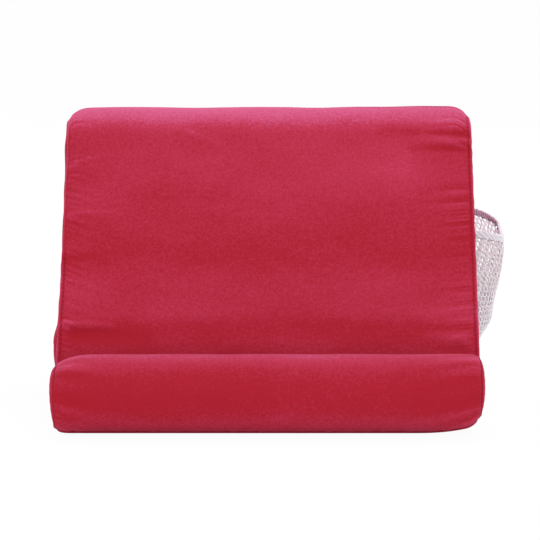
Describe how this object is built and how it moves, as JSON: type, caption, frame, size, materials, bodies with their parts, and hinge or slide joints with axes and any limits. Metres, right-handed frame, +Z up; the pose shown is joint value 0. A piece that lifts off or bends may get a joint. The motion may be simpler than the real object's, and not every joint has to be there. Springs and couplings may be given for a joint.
{
  "type": "tablet cushion stand",
  "caption": "Soft wedge cushion stand for a tablet, with a padded roll as its ledge, an elastic net pocket on one side and a zipped removable cover.",
  "frame": {"origin": "on the floor plane under the base panel, at mid-width of the wedge and at mid-depth of the stand", "axes": "+X to the right as seen from the front, along the ridge and the roll; +Y to the back, so the sloping face and the roll look towards -Y; +Z up"},
  "size_m": [0.3171, 0.2319, 0.203],
  "materials": {
    "cover_fabric": "matte crimson suede-like cloth",
    "foam": "open-cell foam",
    "net": "white knitted net",
    "elastic": "white woven elastic",
    "zip_tape": "woven tape",
    "zip_teeth": "moulded nylon",
    "zip_metal": "plain zinc"
  },
  "bodies": {
    "cushion": {"front_panel": "cover_fabric", "back_panel_upper": "cover_fabric", "back_panel_lower": "cover_fabric", "base_panel": "cover_fabric", "left_side_panel": "cover_fabric", "right_side_panel": "cover_fabric", "bolster_sleeve": "cover_fabric", "bolster_left_end_cap": "cover_fabric", "bolster_right_end_cap": "cover_fabric", "wedge_foam_core": "foam", "bolster_foam_core": "foam", "pocket_net": "net", "pocket_hem_elastic": "elastic", "zip_tape_upper": "zip_tape", "zip_tape_lower": "zip_tape", "zip_teeth_upper": "zip_teeth", "zip_teeth_lower": "zip_teeth", "zip_top_stop_upper": "zip_metal", "zip_top_stop_lower": "zip_metal", "zip_bottom_stop": "zip_metal"},
    "slider": {"zip_slider": "zip_metal"},
    "pull_tab": {"zip_pull_tab": "zip_metal"}
  },
  "joints": [
    {"name": "zip_slide", "type": "slide", "parent": "cushion", "child": "slider", "axis": [1, 0, 0], "range_m": [-0.211, 0]},
    {"name": "pull_tab_swing", "type": "hinge", "parent": "slider", "child": "pull_tab", "pos_m": [0.1055, 0.10982, 0.04628], "axis": [0, 0.1813, -0.9834], "range_deg": [0, 150]}
  ]
}
